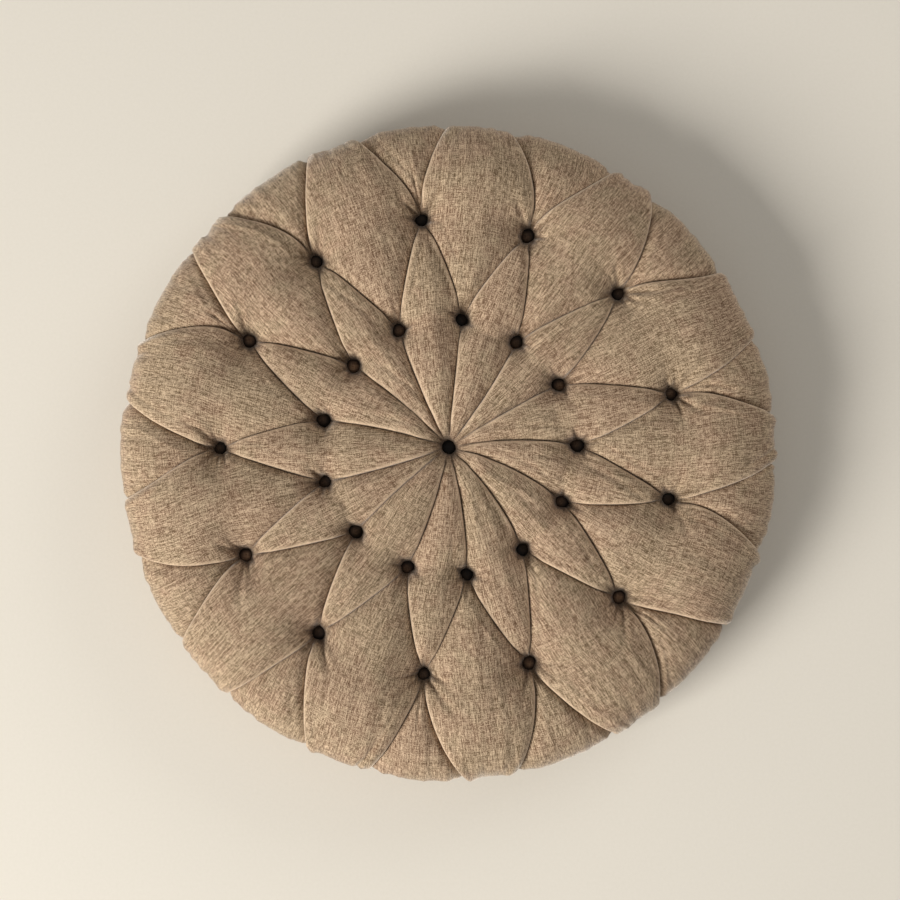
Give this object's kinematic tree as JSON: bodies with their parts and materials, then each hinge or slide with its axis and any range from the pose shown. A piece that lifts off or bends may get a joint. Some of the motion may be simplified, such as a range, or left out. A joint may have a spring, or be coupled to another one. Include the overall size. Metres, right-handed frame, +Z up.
{
  "type": "chair seat pad",
  "caption": "Round padded chair cushion with deep buttoning, a cloth cover pleated from button to button and out over a softly rounded rim.",
  "frame": {"origin": "centre of the underside, on the surface that the pad rests on", "axes": "+Z up through the pad, the shortest way; +X and +Y across it, with an inner button just clockwise of +Y as seen from above"},
  "size_m": [0.5, 0.5, 0.075],
  "materials": {
    "cover_cloth": "slub linen-look weave in warm taupe, matt",
    "base_cloth": "the same weave, plainer and a little darker",
    "fibre_fill": "soft white fibre",
    "seam_thread": "matching sewing thread",
    "button_cloth": "dark brown cloth stretched over a dome",
    "twine": "waxed brown twine and plain flat buttons"
  },
  "bodies": {
    "root": {"top_cover": "cover_cloth", "bottom_cover": "base_cloth", "fibre_fill": "fibre_fill", "seam_stitching": "seam_thread", "button_centre": "button_cloth", "button_inner_01": "button_cloth", "button_inner_02": "button_cloth", "button_inner_03": "button_cloth", "button_inner_04": "button_cloth", "button_inner_05": "button_cloth", "button_inner_06": "button_cloth", "button_inner_07": "button_cloth", "button_inner_08": "button_cloth", "button_inner_09": "button_cloth", "button_inner_10": "button_cloth", "button_inner_11": "button_cloth", "button_inner_12": "button_cloth", "button_inner_13": "button_cloth", "button_outer_01": "button_cloth", "button_outer_02": "button_cloth", "button_outer_03": "button_cloth", "button_outer_04": "button_cloth", "button_outer_05": "button_cloth", "button_outer_06": "button_cloth", "button_outer_07": "button_cloth", "button_outer_08": "button_cloth", "button_outer_09": "button_cloth", "button_outer_10": "button_cloth", "button_outer_11": "button_cloth", "button_outer_12": "button_cloth", "button_outer_13": "button_cloth", "tie_centre": "twine", "tie_inner_01": "twine", "tie_inner_02": "twine", "tie_inner_03": "twine", "tie_inner_04": "twine", "tie_inner_05": "twine", "tie_inner_06": "twine", "tie_inner_07": "twine", "tie_inner_08": "twine", "tie_inner_09": "twine", "tie_inner_10": "twine", "tie_inner_11": "twine", "tie_inner_12": "twine", "tie_inner_13": "twine", "tie_outer_01": "twine", "tie_outer_02": "twine", "tie_outer_03": "twine", "tie_outer_04": "twine", "tie_outer_05": "twine", "tie_outer_06": "twine", "tie_outer_07": "twine", "tie_outer_08": "twine", "tie_outer_09": "twine", "tie_outer_10": "twine", "tie_outer_11": "twine", "tie_outer_12": "twine", "tie_outer_13": "twine"}
  },
  "joints": []
}
